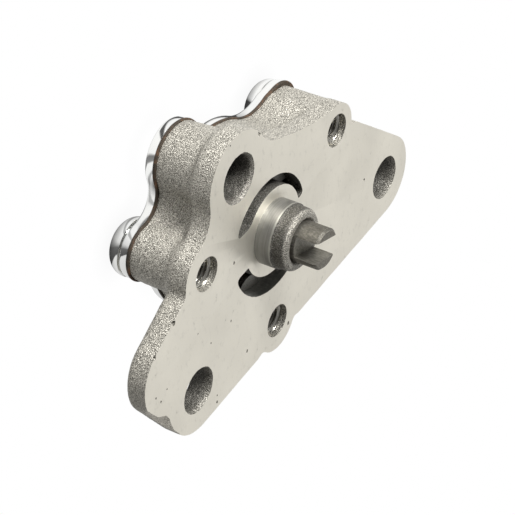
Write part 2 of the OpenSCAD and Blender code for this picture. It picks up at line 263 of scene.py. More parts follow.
def finished(obj, name, body, soft=()):
    """Scales the piece to metres and hangs it on its body. Its edges are crisp between two
    finishes and where it bends sharply, unless that is in a soft finish."""
    obj.name = obj.data.name = name
    obj.data.transform(Matrix.Scale(MM, 4))
    mesh = obj.data
    mesh.shade_smooth()
    sharp_bend = math.radians(28.0)
    bm = bmesh.new()
    bm.from_mesh(mesh)
    for edge in bm.edges:
        if len(edge.link_faces) != 2:
            continue
        one, other = [face.material_index for face in edge.link_faces]
        if one != other or (one not in soft and edge.calc_face_angle(0) > sharp_bend):
            edge.smooth = False
    bm.to_mesh(mesh)
    bm.free()
    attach(obj, body)
    return obj


def paint(name, colour, metallic, roughness):
    """A new node material and its shader. Values that are the same all over sit on its
    sockets, and the colour there is the mean of what the ramps give."""
    made = bpy.data.materials.new(name)
    made.use_nodes = True
    shader = made.node_tree.nodes["Principled BSDF"]
    shader.inputs["Base Color"].default_value = (*colour, 1)
    shader.inputs["Metallic"].default_value = metallic
    shader.inputs["Roughness"].default_value = roughness
    return made, shader


def grain(made, per_mm, stretch=(1, 1, 1), detail=2.0, rough=0.5):
    """Noise from 0 to 1 in the piece's own space, with so many waves for each millimetre."""
    tree = made.node_tree
    place = tree.nodes.new("ShaderNodeTexCoord")
    scale = tree.nodes.new("ShaderNodeMapping")
    scale.inputs["Scale"].default_value = [1000 * per_mm * s for s in stretch]
    waves = tree.nodes.new("ShaderNodeTexNoise")
    waves.inputs["Scale"].default_value = 1
    waves.inputs["Detail"].default_value = detail
    waves.inputs["Roughness"].default_value = rough
    tree.links.new(place.outputs["Object"], scale.inputs["Vector"])
    tree.links.new(scale.outputs["Vector"], waves.inputs["Vector"])
    return waves.outputs["Fac"]


def spread(made, source, stops, socket=None):
    """Turns a value into a colour or grey by a ramp of (place, value), and joins it to the
    socket if there is one."""
    tree = made.node_tree
    ramp = tree.nodes.new("ShaderNodeValToRGB")
    elements = ramp.color_ramp.elements
    while len(elements) < len(stops):
        elements.new(0.5)
    for element, (place, value) in zip(elements, stops):
        element.position = place
        element.color = (*value, 1) if hasattr(value, "__len__") else (value, value, value, 1)
    tree.links.new(source, ramp.inputs["Fac"])
    if socket:
        tree.links.new(ramp.outputs["Color"], socket)
    return ramp.outputs["Color"]


def relief(made, shader, *waves):
    """Bump from noises of (source, height in mm), one after the other."""
    tree = made.node_tree
    last = None
    for source, height in waves:
        bump = tree.nodes.new("ShaderNodeBump")
        bump.inputs["Distance"].default_value = height * MM
        tree.links.new(source, bump.inputs["Height"])
        if last:
            tree.links.new(last, bump.inputs["Normal"])
        last = bump.outputs["Normal"]
    tree.links.new(last, shader.inputs["Normal"])


def times(made, colour, factor=1.0):
    """A node that multiplies the colour by its input B, by as much as the factor says."""
    product = made.node_tree.nodes.new("ShaderNodeMix")
    product.data_type = "RGBA"
    product.blend_type = "MULTIPLY"
    product.inputs["Factor"].default_value = factor
    made.node_tree.links.new(colour, product.inputs["A"])
    return product


def share_of(made, value, low, high):
    """Where a value lies between low and high, from 0 to 1."""
    share = made.node_tree.nodes.new("ShaderNodeMapRange")
    share.inputs["From Min"].default_value = low
    share.inputs["From Max"].default_value = high
    made.node_tree.links.new(value, share.inputs["Value"])
    return share.outputs["Result"]


def by_depth(made, shader, colour, stops):
    """Multiplies the colour by a grey that follows the height in mm, in stops of (z, grey): painted light
    and shade by height.
    """
    tree = made.node_tree
    place = tree.nodes.new("ShaderNodeTexCoord")
    height = tree.nodes.new("ShaderNodeSeparateXYZ")
    tree.links.new(place.outputs["Object"], height.inputs[0])
    low, high = stops[0][0], stops[-1][0]
    product = times(made, colour)
    spread(made, share_of(made, height.outputs["Z"], low * MM, high * MM),
           [((z - low) / (high - low), grey) for z, grey in stops], product.inputs["B"])
    tree.links.new(product.outputs["Result"], shader.inputs["Base Color"])


# Skin of the casting: shot-blasted, so that it glitters in grains of about a tenth of a
# millimetre
cast, shader = paint("cast_skin", (0.39, 0.368, 0.32), 0.6, 0.47)
fine, coarse = grain(cast, 8.5, detail=1), grain(cast, 0.3, detail=3)
sand = [(0.36, (0.105, 0.099, 0.085)), (0.5, (0.335, 0.318, 0.275)), (0.66, (0.74, 0.706, 0.622))]
spread(cast, fine, sand, shader.inputs["Base Color"])
spread(cast, coarse, [(0.3, 0.42), (0.7, 0.52)], shader.inputs["Roughness"])
relief(cast, shader, (fine, 0.12), (coarse, 0.1))

# The same skin in the bolt holes and the upper port, with painted shade that grows darker the deeper it
# lies, and on the nose of the spigot, where a painted highlight brightens only the rim
def painted_light_and_shade_skin(name, depths):
    """A cast skin with painted light and shade that follow the height, in stops of (z, grey)."""
    made, shader = paint(name, (0.16, 0.152, 0.134), 0.6, 0.5)
    fine = grain(made, 7.5, detail=1)
    sand = [(0.32, (0.05, 0.047, 0.04)), (0.5, (0.12, 0.114, 0.098)), (0.68, (0.36, 0.343, 0.305))]
    speckle = spread(made, fine, sand, shader.inputs["Base Color"])
    relief(made, shader, (fine, 0.1))
    by_depth(made, shader, speckle, depths)
    return made


# Stops: painted shade deep in the bolt holes, painted light at their mouths, a painted highlight on the
# nose's rim; in the port, painted shade that deepens downwards
hole_skin = painted_light_and_shade_skin("cast_hole_painted_shade_and_highlight", [(-4.0, 0.42), (-1.4, 0.66), (-0.1, 1.5),
                                      (0.3, 0.67), (4.2, 0.67), (4.45, 1.75)])
port_skin = painted_light_and_shade_skin("cast_port_painted_shade", [(-2.4, 0.55), (-0.5, 0.65), (0.0, 0.9)])

# Drilled mouths of the screw holes: bare and scuffed
bare, shader = paint("bare_metal", (0.3, 0.285, 0.25), 0.8, 0.5)
fine = grain(bare, 5.0, (1, 1, 3.0), 2)
scuffed = [(0.36, (0.08, 0.076, 0.065)), (0.5, (0.28, 0.266, 0.232)), (0.65, (0.72, 0.69, 0.61))]
spread(bare, fine, scuffed, shader.inputs["Base Color"])
relief(bare, shader, (fine, 0.07))

# A low spot that was only filed: lighter than the skin
filed, shader = paint("filed_skin", (0.58, 0.55, 0.48), 0.7, 0.5)
fine = grain(filed, 7.0, detail=1)
filings = [(0.34, (0.3, 0.284, 0.248)), (0.5, (0.58, 0.55, 0.48)), (0.67, (0.9, 0.857, 0.762))]
spread(filed, fine, filings, shader.inputs["Base Color"])
relief(filed, shader, (fine, 0.06))

# Milled face: satin, with faint streaks across the flange and fine dark flecks
milled, shader = paint("milled_face", (0.82, 0.785, 0.695), 1.0, 0.47)
streaks, cloud = grain(milled, 2.2, (2.2, 0.1, 1), 3), grain(milled, 0.09, detail=3)
tone = spread(milled, cloud, [(0.3, (0.77, 0.738, 0.653)), (0.7, (0.86, 0.825, 0.73))],
              shader.inputs["Base Color"])
flecks = [(0.24, 0.55), (0.33, 0.93), (0.45, 1.0), (0.75, 1.0), (0.8, 1.06)]
flecked = times(milled, tone)
spread(milled, grain(milled, 1.1, (1, 0.55, 1), detail=4, rough=0.65), flecks, flecked.inputs["B"])
milled.node_tree.links.new(flecked.outputs["Result"], shader.inputs["Base Color"])
spread(milled, streaks, [(0.3, 0.44), (0.7, 0.52)], shader.inputs["Roughness"])
relief(milled, shader, (streaks, 0.003))

# Turned and bored surfaces, with rings round the shaft's axis, and a painted highlight along the edge at
# the nose
lathe_cut, shader = paint("turned_face", (0.31, 0.306, 0.289), 1.0, 0.5)
cut_rings = grain(lathe_cut, 1.0, (0.12, 0.12, 7.0), 2)
ring_tone = spread(lathe_cut, cut_rings, [(0.3, (0.26, 0.257, 0.243)), (0.7, (0.355, 0.351, 0.331))],
                   shader.inputs["Base Color"])
# Painted highlight: a bright band just under the foot of the nose
by_depth(lathe_cut, shader, ring_tone, [(-0.1, 1.0), (2.2, 1.0), (2.28, 1.6), (2.4, 1.6)])
spread(lathe_cut, grain(lathe_cut, 0.8, (1, 1, 2.0), 3), [(0.3, 0.44), (0.7, 0.62)],
       shader.inputs["Roughness"])
relief(lathe_cut, shader, (cut_rings, 0.002))

# Cut threads: clean metal, in fine turns
thread_cut, shader = paint("cut_thread", (0.45, 0.435, 0.395), 1.0, 0.28)
chatter = grain(thread_cut, 4.0, (1, 1, 3.0), 2)
spread(thread_cut, chatter, [(0.3, (0.33, 0.32, 0.29)), (0.7, (0.57, 0.552, 0.503))],
       shader.inputs["Base Color"])

BODY_FINISHES = [cast, milled, lathe_cut, thread_cut, hole_skin, port_skin, bare, filed]
CAST, MILLED, TURNED, TAPPED, HOLE, PORT, BARE, FILED = range(8)

# The rough casting, with stock on the faces that get machined. The flange's edge and the
# housing are lists of (height, share of the flare), with a quarter round between the two.
FLANGE_EDGE = [(0, -0.9), (0.12, -0.45), (0.4, -0.12), (0.8, 0)]
BACK_SHARE = -0.03
ROOT_SHARE = 0.2
FILLET_SHARE = 0.8
ROOT_FILLET = 1.1
FILLET_ANGLES = [math.radians(t) for t in (0, 22.5, 45, 67.5, 90)]
NOSE_BEVEL = 0.55
NOSE_ROOT_R = 5.3
NOSE_ROOT_Z = -2
INSIDE_FLANGE = -1.0
TRIM = 0.05
SKIN_CELL = 0.24
SKIN_WAVES = [(0.025, 0.5), (0.05, 2.6)]

flange_levels = [(-FLANGE_T + up, share) for up, share in FLANGE_EDGE] + [(STOCK, 0)]
blank = rings("casting", [level(tangent_outline(FLANGE_ROW, FLANGE_ROW, share), z)
                          for z, share in flange_levels], BODY_FINISHES)
housing_levels = [(-BODY_DEPTH - STOCK, BACK_SHARE)]
housing_levels += [(-FLANGE_T - ROOT_FILLET + ROOT_FILLET * math.sin(t),
                    ROOT_SHARE + FILLET_SHARE * (1 - math.cos(t))) for t in FILLET_ANGLES]
housing_levels += [(INSIDE_FLANGE, 1.0)]
housing = rings("housing", [level(tangent_outline(HOUSING_ROW, HOUSING_ROW, share), z)
                            for z, share in housing_levels], BODY_FINISHES)
nose = turned("nose", [(0, NOSE_ROOT_Z), (NOSE_ROOT_R, NOSE_ROOT_Z), (NOSE_ROOT_R, NOSE_FOOT),
                       (NOSE_R, NOSE_FOOT), (NOSE_R, SPIGOT_L - NOSE_BEVEL),
                       (NOSE_R - NOSE_BEVEL, SPIGOT_L + TRIM), (0, SPIGOT_L + TRIM)], BODY_FINISHES)
solids = [blank, housing, nose]
with bpy.context.temp_override(active_object=blank, selected_editable_objects=solids):
    bpy.ops.object.join()
applied(blank, "REMESH", mode="VOXEL", voxel_size=SKIN_CELL, use_smooth_shade=True)
applied(blank, "SMOOTH", factor=0.5, iterations=5)
for finish in BODY_FINISHES:
    if finish.name not in blank.data.materials:
        blank.data.materials.append(finish)
roughened(blank, *SKIN_WAVES)

# Facing cuts: the mounting face with the relief round the spigot, and the gasket face. The
# spigot's end is only trimmed, and has the nose's skin with its painted highlight. Each cutter reaches
# past the casting.
RELIEF_DEPTH = 0.04
RELIEF_FOOT_R = 5.42
RELIEF_R = 5.5
OUTSIDE = 80
ABOVE = 9
BELOW = -20

machine(blank,
        turned("facing", [(SPIGOT_R, -RELIEF_DEPTH), (RELIEF_FOOT_R, -RELIEF_DEPTH), (RELIEF_R, 0),
                          (OUTSIDE, 0), (OUTSIDE, ABOVE), (SPIGOT_R, ABOVE)],
               BODY_FINISHES, [MILLED] * 5 + [TURNED], n=256),
        turned("end_cut", [(0, SPIGOT_L), (ABOVE, SPIGOT_L), (ABOVE, ABOVE), (0, ABOVE)],
               BODY_FINISHES, [HOLE] * 4),
        turned("back_cut", [(0, BELOW), (OUTSIDE, BELOW), (OUTSIDE, -BODY_DEPTH), (0, -BODY_DEPTH)],
               BODY_FINISHES, [MILLED] * 4))

# Shaft bore and rotor pocket
BORE_CHAMFER = 0.4
BORE_FROM = -12
BORE_MOUTH = 0.45
BORE_TO = SPIGOT_L + 1
POCKET_FROM = -14

# The bore's chamfer takes the holes' darker skin, as painted shade
machine(blank,
        turned("bore", [(0, BORE_FROM), (BORE_R, BORE_FROM), (BORE_R, SPIGOT_L - BORE_CHAMFER),
                        (BORE_R + BORE_CHAMFER, SPIGOT_L), (BORE_R + BORE_MOUTH, BORE_TO),
                        (0, BORE_TO)],
               BODY_FINISHES, [TURNED, TURNED, HOLE, HOLE, TURNED, TURNED]),
        turned("pocket", [(0, POCKET_FROM), (POCKET_R, POCKET_FROM), (POCKET_R, -FLOOR_T),
                          (0, -FLOOR_T)],
               BODY_FINISHES, [TURNED] * 4, POCKET_AT, 256))

# Oil ports: two kidneys through the pocket's floor, the upper as cast, the lower milled out
PORT_INNER_R = 6.7
ARC_POINTS = 160
CORNER_STEPS = np.linspace(0.1, 0.9, 8)
PORT_LEVELS = np.linspace(-FLOOR_T - 0.4, 0.4, 14)
WALL_WAVE = (0.05, 0.45)


def kidney(outer_at, outer_r, left, right, side, rounding):
    """One port: a ring sector cut off at a height on each side. The rounding is that of the
    left end's outer and inner corner, then that of the right end's."""
    arcs = []
    for at, r in ((outer_at, outer_r), ((0, 0), PORT_INNER_R)):
        start, end = math.asin(right / r), math.pi - math.asin(left / r)
        arcs.append([np.array((at[0] + r * math.cos(t), at[1] + r * math.sin(t)))
                     for t in np.linspace(start, end, ARC_POINTS)])
    outward, inward = arcs[0], arcs[1][::-1]
    path = []
    for arc, following, before, leave, enter in (
            (outward, inward, rounding[2], rounding[0], rounding[1]),
            (inward, outward, rounding[1], rounding[3], rounding[2])):
        step, next_step = [np.linalg.norm(points[1] - points[0]) for points in (arc, following)]
        path += arc[int(before / step):len(arc) - int(leave / step)]
        corner, next_corner = arc[-1], following[0]
        across = (next_corner - corner) / np.linalg.norm(next_corner - corner)
        for a, c, b in ((path[-1], corner, corner + leave * across),
                        (next_corner - enter * across, next_corner, following[int(enter / next_step)])):
            path += [(1 - t) ** 2 * a + 2 * t * (1 - t) * c + t * t * b for t in CORNER_STEPS]
    path = np.array(path)
    path[:, 1] *= side
    return path if side > 0 else path[::-1]


upper_port = kidney(POCKET_AT, 8.9, 4.5, 0.75, 1, (1.9, 1.0, 1.1, 0.2))
lower_port = kidney((0, 0), 9.6, 1.65, 3.7, -1, (1.1, 0.2, 0.4, 0.4))
for port_outline, finish in ((upper_port, PORT), (lower_port, TURNED)):
    walls = rings("port", [level(port_outline, z) for z in PORT_LEVELS],
                  BODY_FINISHES, [finish] * (len(PORT_LEVELS) + 1))
    machine(blank, roughened(walls, WALL_WAVE))

# Cast bolt holes, with draft towards the back and a mouth that opens out on the face
HOLE_LEVELS = np.linspace(-11, 0.5, 70)
HOLE_DRAFT = 0.045
HOLE_MOUTHS = (0.4, 0.2, 0.12)
MOUTH_DEPTH = 0.6
MOUTH_MOST = 1.2
HOLE_WAVE = (0.05, 1.6)

for at, mouth in zip(BOLTS, HOLE_MOUTHS):
    loops = []
    for z in HOLE_LEVELS:
        drafted = BOLT_R + HOLE_DRAFT * max(z, -FLANGE_T)
        opened = min(max(z / MOUTH_DEPTH + 1, 0), MOUTH_MOST) ** 2
        loops.append(level(circle(at, drafted + mouth * opened), z))
    hole = rings("bolt_hole", loops, BODY_FINISHES, [HOLE] * (len(loops) + 1))
    machine(blank, roughened(hole, WALL_WAVE, HOLE_WAVE))

# Tapped screw holes: a drilled mouth, then turns of thread, then the smooth core
PITCH = 0.55
THREAD_DEPTH = 0.36
RIDGE_TOP = 1.15
RIDGE_SLOPE = 2.3
THREAD_END = -3.5
THREAD_FADE = 0.3
DRILLED_MOUTH = 1.0
SCUFF = 0.05
SCUFF_R = 2.2
SCUFF_PITCH = 0.35
SCUFF_FADE = 0.1
ROUND = 96
THREAD_LEVELS = [-11.0, THREAD_END - 0.1] + list(np.arange(THREAD_END, 0.01, 0.06)) + [0.6]


def held(value):
    """The value, held between 0 and 1."""
    return min(max(value, 0), 1)


for at in SCREWS:
    loops, kinds = [], []
    t = np.arange(ROUND) * 2 * math.pi / ROUND
    for z in THREAD_LEVELS:
        phase = (z / PITCH - t / (2 * math.pi)) % 1.0
        ridge = np.clip(RIDGE_TOP - RIDGE_SLOPE * np.abs(phase - 0.5), 0, 1) * THREAD_DEPTH
        fade = held((z - THREAD_END) / THREAD_FADE) * held((-DRILLED_MOUTH - z) / THREAD_FADE)
        scuff = SCUFF * held(-z / THREAD_FADE) * held((z + DRILLED_MOUTH) / SCUFF_FADE)
        rough_wall = [scuff * noise.noise((SCUFF_R * math.cos(a) + at[0], SCUFF_R * math.sin(a) + at[1],
                                           z / SCUFF_PITCH)) for a in t]
        r = SCREW_R - ridge * fade + rough_wall
        loops.append(level(np.column_stack([at[0] + r * np.cos(t), at[1] + r * np.sin(t)]), z))
        kinds.append(BARE if z > -DRILLED_MOUTH else TAPPED)
    machine(blank, rings("tap", loops, BODY_FINISHES, kinds[:-1] + [TAPPED, BARE]))

# Low spot of the casting at the left corner, which the milling cutter doesn't reach: a slope
# down to the flank. The first seven points are its edge on the milled face.
LOW_SPOT = np.array([(-32.6, -5.5), (-31.4, -6.85), (-29.85, -9.25), (-28.2, -10.5), (-27.7, -11.45),
                     (-27.1, -14.35), (-26.0, -16.2), (-30.0, -19.0), (-36.0, -13.0), (-36.0, -6.0)])
LOW_SPOT_T = 1.5
LOW_SPOT_TOP = -0.03
LOW_SPOT_CELL = 0.12
LOW_SPOT_WAVE = (0.08, 1.5)
PAST_FLANK = 0.3
FLANK_OUT = np.array((-0.8575, -0.5145))

to_flank = EAR_R + PAST_FLANK - (LOW_SPOT - BOLTS[1]) @ FLANK_OUT
low_edge = LOW_SPOT + np.outer(np.clip(to_flank, 0, None), FLANK_OUT)
low_spot = rings("low_spot", [level(low_edge, -LOW_SPOT_T), level(LOW_SPOT, LOW_SPOT_TOP),
                              level(LOW_SPOT, STOCK)], BODY_FINISHES)
applied(low_spot, "REMESH", mode="VOXEL", voxel_size=LOW_SPOT_CELL)
applied(low_spot, "SMOOTH", factor=0.5, iterations=4)
low_spot.data.polygons.foreach_set("material_index", [FILED] * len(low_spot.data.polygons))
for finish in BODY_FINISHES[len(low_spot.data.materials):]:
    low_spot.data.materials.append(finish)
machine(blank, roughened(low_spot, WALL_WAVE, LOW_SPOT_WAVE))

# Casting pits that the milling opened: (x, y, radius)
PITS = [(-9.55, 1.75, 0.2), (-23.66, 2.69, 0.3), (-23.5, 3.5, 0.22), (-28.5, 0.61, 0.26),
        (-29.6, -5.94, 0.13), (-28.75, -7.41, 0.15), (-17.29, -18.01, 0.2), (-27.14, -6.42, 0.12),
        (-11.84, -7.11, 0.14), (-9.17, -15.23, 0.2), (-0.72, 17.6, 0.3), (-7.18, 20.3, 0.1),
        (23.61, -8.76, 0.2), (1.17, -18.7, 0.24), (-19.18, -3.2, 0.12), (-16.76, -7.01, 0.12),
        (-17.05, -16.9, 0.12)]
PIT_LENGTH = 1.4
PIT_DEPTH = 0.9
PIT_UNEVEN = 0.5

pits = bpy.data.objects.new("pits", bpy.data.meshes.new("pits"))
bpy.context.scene.collection.objects.link(pits)
for finish in BODY_FINISHES:
    pits.data.materials.append(finish)
bm = bmesh.new()
for x, y, r in PITS:
    made = bmesh.ops.create_icosphere(bm, subdivisions=3, radius=r)
    for v in made["verts"]:
        v.co *= 1 + PIT_UNEVEN * noise.noise(v.co / r + Vector((x, y, 0)))
        v.co = Vector((v.co.x + x, v.co.y * PIT_LENGTH + y, v.co.z * PIT_DEPTH))
# The pits take the holes' darker skin: painted shade
for face in bm.faces:
    face.material_index = HOLE
bm.to_mesh(pits.data)
bm.free()
machine(blank, pits)

# The spigot's nose has the skin of the holes, with the painted highlight on its rim
NOSE_FROM = 2.3

for face in blank.data.polygons:
    at = face.center
    if face.material_index == CAST and NOSE_FROM < at.z and at.xy.length < SPIGOT_R:
        face.material_index = HOLE

body_piece = finished(blank, "pump_casting", "root", soft=(CAST,))
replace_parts(body_piece, "pump_body")

# The gasket
# A sheet of fibre gasket paper, soaked brown with oil, cut a little larger than the
# housing. It is clamped between the housing and the cover.
GASKET_T = 0.5
GASKET_BACK = -BODY_DEPTH - GASKET_T

paper, shader = paint("gasket_paper", (0.05, 0.032, 0.018), 0.0, 0.75)
fibres = grain(paper, 2.5, (1, 1, 3), 4, 0.7)
tints = [(0.3, (0.016, 0.013, 0.008)), (0.5, (0.036, 0.024, 0.013)), (0.62, (0.09, 0.046, 0.022)),
         (0.75, (0.22, 0.1, 0.046))]
spread(paper, grain(paper, 0.55, detail=4, rough=0.7), tints, shader.inputs["Base Color"])
relief(paper, shader, (fibres, 0.03))


def grown(row, by):
    """A row of discs whose outline lies further out."""
    return [(at, r + by, h - by if h else 0, f) for at, r, h, f in row]


PLATE_ROW = [(right_at, 4.3, 0, 0)] + HOUSING_ROW[1:]


def flat_piece(name, finishes, levels, holes):
    """A stamped plate with the housing's outline, a little proud at the right boss, through
    levels of (height, growth)."""
    plate = rings(name, [level(tangent_outline(grown(PLATE_ROW, growth), PLATE_ROW), z)
                         for z, growth in levels], finishes)
    for at, r in holes:
        low, high = levels[0][0] - 1, levels[-1][0] + 1
        machine(plate, turned("hole", [(0, low), (r, low), (r, high), (0, high)], finishes, at=at, n=96))
    return plate


GASKET_LEVELS = [(GASKET_BACK, 0.1), (GASKET_BACK + 0.1, 0.22), (-BODY_DEPTH - 0.25, 0.25),
                 (-BODY_DEPTH - 0.1, 0.22), (-BODY_DEPTH, 0.1)]
GASKET_HOLE_GAP = 0.3
gasket = flat_piece("gasket", [paper], GASKET_LEVELS,
                    [(POCKET_AT, POCKET_R + GASKET_HOLE_GAP), (BOLTS[0], BOLT_R)]
                    + [(s, SCREW_R + GASKET_HOLE_GAP) for s in SCREWS])
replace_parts(finished(gasket, "gasket_sheet", "root"), "cover_gasket")

# The cover plate
# Stamped steel sheet, zinc plated and bright. The punch has rounded its outer edge. Three
# pan-head screws hold it, and the top bolt goes through it.
COVER_FACE = -11.5
COVER_HOLE_GAP = 0.25

zinc, shader = paint("bright_zinc", (0.95, 0.95, 0.93), 1.0, 0.1)
bloom, drawn = grain(zinc, 0.25, detail=3), grain(zinc, 2.0, (1, 1, 0.3), 2)
spread(zinc, bloom, [(0.3, (0.9, 0.91, 0.9)), (0.7, (0.97, 0.965, 0.94))], shader.inputs["Base Color"])
spread(zinc, bloom, [(0.3, 0.05), (0.7, 0.1)], shader.inputs["Roughness"])
relief(zinc, shader, (drawn, 0.004))

COVER_LEVELS = [(COVER_FACE, -0.25), (COVER_FACE + 0.08, -0.08), (COVER_FACE + 0.25, 0.05),
                (COVER_FACE + 0.5, 0.1), (GASKET_BACK - 0.05, 0.1), (GASKET_BACK, 0.05)]
cover = flat_piece("cover", [zinc], COVER_LEVELS,
                   [(BOLTS[0], BOLT_R)] + [(s, SCREW_R + COVER_HOLE_GAP) for s in SCREWS])
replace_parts(finished(cover, "zinc_cover", "root"), "cover_plate")

# The cover screws
# Three zinc-plated pan-head screws with a cross recess. They hold the cover and the gasket
# and end inside the tapped holes, short of the mounting face.
HEAD_R = 4.2
HEAD_H = 2.6
SCREW_L = 8.0
SHANK_R = 2.45
SHANK_BEVEL = 0.6
HEAD_TOP = COVER_FACE - HEAD_H
CROWN_R = 0.32 * HEAD_R
HEAD_EDGE = 0.12 * HEAD_H
DOME_ANGLES = np.radians(np.linspace(0, 90, 17))
RECESS_TURN = 20
RECESS_FLOOR = HEAD_TOP + 1.6
RECESS_LEVELS = [(HEAD_TOP - 0.5, 2.45, 0.62), (RECESS_FLOOR - 0.3, 1.7, 0.4), (RECESS_FLOOR, 0.6, 0.12)]

# Bare metal in the recess, with a little dirt, and darker as painted shade
recess, shader = paint("screw_recess_dirt_and_painted_shade", (0.2, 0.2, 0.19), 0.9, 0.4)
smear = grain(recess, 2.0, detail=3)
spread(recess, smear, [(0.3, (0.12, 0.12, 0.11)), (0.7, (0.32, 0.32, 0.31))], shader.inputs["Base Color"])


def cover_screw(at):
    """One screw: a domed head on a shank, with two crossing slots that narrow inwards by
    levels of (height, half length, half width)."""
    tip = COVER_FACE + SCREW_L
    profile = [(0, tip), (0, HEAD_TOP)]
    for t in DOME_ANGLES:
        profile.append((CROWN_R + (HEAD_R - CROWN_R) * math.sin(t),
                        COVER_FACE - HEAD_EDGE - (HEAD_H - HEAD_EDGE) * math.cos(t)))
    profile += [(HEAD_R, COVER_FACE - 0.05), (HEAD_R - 0.05, COVER_FACE), (SHANK_R, COVER_FACE),
                (SHANK_R, tip - SHANK_BEVEL), (SHANK_R - SHANK_BEVEL, tip)]
    screw = turned("screw", profile[::-1], [zinc, recess], at=at, n=128)
    for slot_angle in (RECESS_TURN, 90 + RECESS_TURN):
        a = np.radians(slot_angle)
        along, across = np.array((math.cos(a), math.sin(a))), np.array((-math.sin(a), math.cos(a)))
        slot_loops = []
        for z, reach, width in RECESS_LEVELS:
            corners = [(-reach, -width), (reach, -width), (reach, width), (-reach, width)]
            slot_loops.append(level(np.array([x * along + y * across for x, y in corners])
                                    + np.array(at), z))
        machine(screw, rings("recess", slot_loops, [zinc, recess], [1] * 4))
    return screw


screws = [cover_screw(at) for at in SCREWS]
with bpy.context.temp_override(active_object=screws[0], selected_editable_objects=screws):
    bpy.ops.object.join()
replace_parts(finished(screws[0], "pan_head_screws", "root"), "cover_screws")

# The drive shaft
# A turned steel shaft, stained dark by oil, with a slot milled in its outer end, which a
# tongue on the engine drives. It runs in the bore of the spigot.
SHAFT_R = 3.0
SHAFT_END = 8.5
SHAFT_BACK = -10.06
SHAFT_BEVEL = 0.3
SLOT_DEPTH = 3.3
SLOT_HALF = 1.5
SLOT_REACH = 5
SLOT_TURN = -21
PIN_HOLE_R = 1.26
PIN_REACH = 5
PIN_Z = -8.73
# Width of the bright bevel on the shaft's edges, a painted highlight
EDGE_HIGHLIGHT_W = 0.1

steel, shader = paint("shaft_steel", (0.15, 0.142, 0.122), 1.0, 0.6)
scores, stain = grain(steel, 1.0, (0.5, 0.5, 7.0), 4, 0.7), grain(steel, 4.0, (1, 1, 0.5), 4, 0.65)
oily = [(0.32, (0.1, 0.094, 0.08)), (0.5, (0.15, 0.142, 0.122)), (0.68, (0.22, 0.209, 0.181))]
oiled = spread(steel, stain, oily, shader.inputs["Base Color"])
# Painted light and shade by height: darker where the shaft comes out of the bore below the slot's floor,
# lighter on the prongs, and a painted highlight on the end's edge
by_depth(steel, shader, oiled, [(4.0, 0.85), (5.1, 0.85), (5.3, 1.05), (8.3, 1.05), (8.45, 1.3)])
spread(steel, scores, [(0.3, 0.54), (0.7, 0.72)], shader.inputs["Roughness"])
relief(steel, shader, (scores, 0.03), (stain, 0.02))

# The walls of its slot: milled, and lighter than the rest
slot_steel, shader = paint("slot_steel", (0.25, 0.24, 0.21), 1.0, 0.55)
tool_marks = grain(slot_steel, 3.0, (1, 1, 0.4), 3, 0.6)
cleaner = [(0.32, (0.17, 0.163, 0.143)), (0.5, (0.25, 0.24, 0.21)), (0.68, (0.34, 0.326, 0.286))]
spread(slot_steel, tool_marks, cleaner, shader.inputs["Base Color"])
relief(slot_steel, shader, (tool_marks, 0.02))

# Its edges: a narrow bevel in a bright finish, a painted highlight
edge_highlight_steel, shader = paint("shaft_edge_painted_highlight", (0.7, 0.68, 0.62), 0.5, 0.45)
edge_highlight_tones = [(0.3, (0.5, 0.485, 0.44)), (0.7, (0.9, 0.875, 0.8))]
spread(edge_highlight_steel, grain(edge_highlight_steel, 1.5, detail=3), edge_highlight_tones, shader.inputs["Base Color"])

SHAFT_FINISHES = [steel, edge_highlight_steel, slot_steel]
EDGE_HIGHLIGHT, SLOT_STEEL = 1, 2
shaft = turned("shaft", [(0, SHAFT_BACK), (SHAFT_R - SHAFT_BEVEL, SHAFT_BACK),
                         (SHAFT_R, SHAFT_BACK + SHAFT_BEVEL), (SHAFT_R, SHAFT_END - SHAFT_BEVEL),
                         (SHAFT_R - SHAFT_BEVEL, SHAFT_END), (0, SHAFT_END)], SHAFT_FINISHES, n=128)
slot_turn = Matrix.Rotation(math.radians(SLOT_TURN), 2)
slot_loop = np.array([slot_turn @ Vector(corner) for corner in (
    (-SLOT_REACH, -SLOT_HALF), (SLOT_REACH, -SLOT_HALF),
    (SLOT_REACH, SLOT_HALF), (-SLOT_REACH, SLOT_HALF))])
machine(shaft, rings("slot", [level(slot_loop, z) for z in (SHAFT_END - SLOT_DEPTH, SHAFT_END + 1)],
                     SHAFT_FINISHES, [SLOT_STEEL] * 3))
pin_hole = turned("pin_hole", [(0, -PIN_REACH), (PIN_HOLE_R, -PIN_REACH), (PIN_HOLE_R, PIN_REACH),
                               (0, PIN_REACH)], SHAFT_FINISHES, n=64)
pin_hole.data.transform(Matrix.Translation((0, 0, PIN_Z)) @ Matrix.Rotation(math.radians(90), 4, "Y"))
machine(shaft, pin_hole)
# Bevel the sharp edges in the bright edge finish: painted highlight
applied(shaft, "BEVEL", width=EDGE_HIGHLIGHT_W, segments=2, limit_method="ANGLE",
        angle_limit=math.radians(40), material=EDGE_HIGHLIGHT)
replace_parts(finished(shaft, "slotted_shaft", "shaft"), "drive_shaft")

# The rotors and the pin
# Two sintered steel rotors, matt and a little porous, and a hardened pin. The pin through
# the shaft drives the inner rotor, and its four lobes carry the five-tooth outer rotor round.
sinter, shader = paint("sintered_steel", (0.3, 0.29, 0.27), 1.0, 0.45)
pores, sheen = grain(sinter, 6.0, detail=3), grain(sinter, 0.8, detail=2)
spread(sinter, pores, [(0.28, (0.1, 0.1, 0.09)), (0.42, (0.3, 0.29, 0.27)), (0.8, (0.4, 0.39, 0.36))],
       shader.inputs["Base Color"])
spread(sinter, sheen, [(0.3, 0.38), (0.7, 0.55)], shader.inputs["Roughness"])
relief(sinter, shader, (pores, 0.02))

